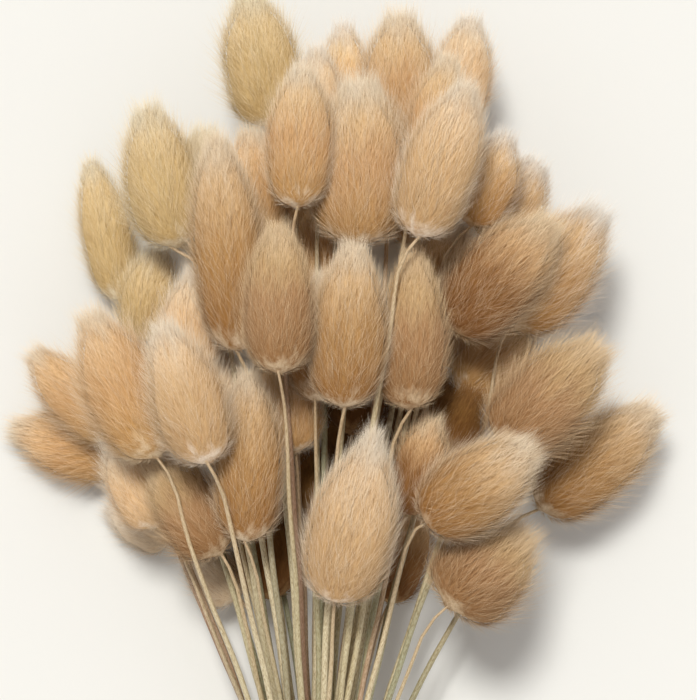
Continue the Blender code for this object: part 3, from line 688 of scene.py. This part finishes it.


# One finish for each tone of head: edge of the base, lower body, body, upper body, tip, hairs' roots.
# The lower body is darker partly in the head's own colour and partly as painted shade. The roots'
# colour is painted shade between the hairs, and the browner husks take it too.
FUR_TONES = {
    "sand": ("#FCEED6", "#C8A06A", "#DEB482", "#F4D4A4", "#FFF3DC", "#B4864E"),
    "golden": ("#FAE8C6", "#D2A86E", "#E2B680", "#F6D09E", "#FFF1D8", "#B48446"),
    "pale": ("#FFF4E2", "#E6C496", "#F6D4A6", "#FFE8C4", "#FFF8EA", "#CC9E6A"),
    "cream": ("#FFF2DE", "#CCAA7C", "#E2C090", "#FADEB6", "#FFF4E0", "#BC8E5C"),
    "bright": ("#FFF4DE", "#E2B070", "#FACC8A", "#FFE4B4", "#FFFAF0", "#CE985A"),
    "ruddy": ("#E6CCA2", "#BE9256", "#D8AE76", "#F6D4A2", "#FFFCF4", "#B08048"),
    "olive": ("#F8EED2", "#D2B680", "#E2C690", "#F4DAA8", "#FFF5DA", "#AC8E58"),
    # These two tones are darker partly in their own colour and partly as painted shade
    "toasted_and_shaded": ("#F0DEC0", "#A67A46", "#C49A62", "#E8C696", "#FFF0D6", "#946A3A"),
    "shaded_dusky": ("#E4CEAC", "#A27A50", "#BC946A", "#DABA8A", "#F8E0BA", "#8E683E"),
    # These two tones are darker as painted shade, for heads that lie deep in the bunch
    "shaded_umber": ("#CCAC80", "#86592E", "#A47646", "#E4BC8A", "#FCE8C6", "#7C562A"),
    "brown": ("#A88456", "#704A24", "#7C5428", "#86602F", "#9C7242", "#5E3E1A"),
    # This tone is paler partly in its own colour and partly as painted light, for heads that lie in shade
    # under others
    "faded_and_painted_light": ("#FFF8EC", "#F2DCBC", "#FAE6C8", "#FFF0D8", "#FFFAF0", "#DCC098"),
}
# Heads of other tones than sand. The umber and brown ones lie deeper in the bunch, and their darker colour
# is painted shade. The toasted and dusky ones are darker partly in their own colour and partly as painted
# shade. The faded ones are paler partly in their own colour and partly as painted light, as they lie in
# shade under others.
TONE_OF_HEAD = {
    "golden": (13, 36, 37, 38),
    "pale": (19, 21, 35, 41, 39),
    "cream": (1, 6, 7),
    "bright": (18,),
    "ruddy": (22, 23, 24),
    "olive": (17, 31, 33, 32, 34),
    "toasted_and_shaded": (4, 8, 9, 12, 25, 26, 29),
    "shaded_dusky": (3, 5, 16, 27, 40),
    "shaded_umber": (14, 15, 54),
    "brown": (28, 48, 49, 50, 53, 56),
    "faded_and_painted_light": (42, 43),
}


def make_fur(node, random, hair, hair_faces, material):
    """The fur of one head: its core and its coats of hairs, as one piece."""
    head = Head(node, random)
    thinned = HIDDEN_SHARE if head.number >= HIDDEN_FROM else 1
    points, facing, marks, faces = core(head)
    grown = [(points, facing, marks)]
    start = len(points)
    for coat in COATS:
        grown.append(grow(head, random, hair, coat, thinned))
    points, facing, marks = (np.concatenate(parts) for parts in zip(*grown))
    faces += [tuple(face) for at in range(start, len(points), len(hair)) for face in hair_faces + at]
    low = points[:, 2] < REST_SKIN
    points[low, 2] = REST_SKIN * random.uniform(*REST_SKINS, low.sum())
    away = points - head.base
    place = np.stack([away @ head.side / head.radius, away @ head.over / head.radius,
                      away @ head.axis / head.length], axis=1)
    place += (0, PATTERN_STEP * head.number, 0)
    fur = piece_from(node.replace("head", "furry_head"), points, faces, material, fur=marks, coat=place)
    fur.data.normals_split_custom_set_from_vertices(facing)
    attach(fur, "root")
    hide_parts(node)


def make_heads():
    """The fur of every head, each in its own tone."""
    random = np.random.default_rng(FUR_SEED)
    hair, hair_faces = one_hair()
    materials = {tone: fur_material(f"silky_{tone}_fur", *colours) for tone, colours in FUR_TONES.items()}
    tones = {number: tone for tone, numbers in TONE_OF_HEAD.items() for number in numbers}
    for node in sorted(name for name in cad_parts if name.startswith("head_")):
        tone = tones.get(int(node[-2:]), "sand")
        make_fur(node, random, hair, hair_faces, materials[tone])


make_heads()

# Studio: a plain pale surface, a soft key light from beyond the heads, a little to the left, and an
# even pale surround. The camera looks straight down on the bunch.
PIXEL = 0.24 * MM           # size of an image pixel at the height of the middle heads
IMAGE_WIDTH = 697
CAMERA_HEIGHT = 1.1
FOCUS_HEIGHT = 0.04         # of the middle heads
VIEW_FROM_TIE = Vector((7.3 * MM, 137.5 * MM, 0)) # from the middle of the tie to below the camera
VIEW_END = 10
SENSOR = 36                 # width in millimetres, which only sets how the lens is counted
GROUND_SIZE = 6
PAPER_WHITE = "#E9E9E4"
KEY_STRENGTH = 2.38
KEY_ANGLE = math.radians(13) # width of the light as the bunch sees it, which softens the shadow's edge
KEY_FROM = Vector((-3.6, 12, 30))
KEY_COLOUR = (1.0, 0.99, 0.965)
SURROUND_STRENGTH = 0.5
SURROUND_COLOUR = (1.0, 0.965, 0.965, 1)


def make_studio():
    """The surface, the key light, the surround and the camera."""
    bpy.ops.object.select_all(action="DESELECT")
    bpy.ops.mesh.primitive_plane_add(size=GROUND_SIZE, location=(0, 0, 0))
    ground = bpy.context.object
    ground.name = "ground"
    # Uncoated paper is smooth but has no shine, so all that it shows is the bunch's soft shadow.
    paper, shader = material_with("matt_white_paper", 0.9)
    shader.inputs["Base Color"].default_value = linear(PAPER_WHITE)
    shader.inputs["Specular IOR Level"].default_value = 0.1
    ground.data.materials.append(paper)

    key = bpy.data.lights.new("key", "SUN")
    key.energy = KEY_STRENGTH
    key.angle = KEY_ANGLE
    key.color = KEY_COLOUR
    lamp = bpy.data.objects.new("key", key)
    lamp.rotation_euler = KEY_FROM.to_track_quat("Z", "Y").to_euler()
    bpy.context.scene.collection.objects.link(lamp)

    world = bpy.data.worlds.new("surround")
    world.use_nodes = True
    background = world.node_tree.nodes["Background"]
    background.inputs["Color"].default_value = SURROUND_COLOUR
    background.inputs["Strength"].default_value = SURROUND_STRENGTH
    bpy.context.scene.world = world

    tie_low, tie_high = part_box("tie")
    camera = bpy.data.cameras.new("camera")
    camera.sensor_fit = "HORIZONTAL"
    camera.sensor_width = SENSOR
    camera.lens = SENSOR * (CAMERA_HEIGHT - FOCUS_HEIGHT) / (IMAGE_WIDTH * PIXEL)
    camera.clip_end = VIEW_END
    holder = bpy.data.objects.new("camera", camera)
    holder.location = 0.5 * (tie_low + tie_high) + VIEW_FROM_TIE
    holder.location.z = CAMERA_HEIGHT
    bpy.context.scene.collection.objects.link(holder)
    bpy.context.scene.camera = holder
    bpy.context.scene.view_settings.view_transform = "Standard"


make_studio()
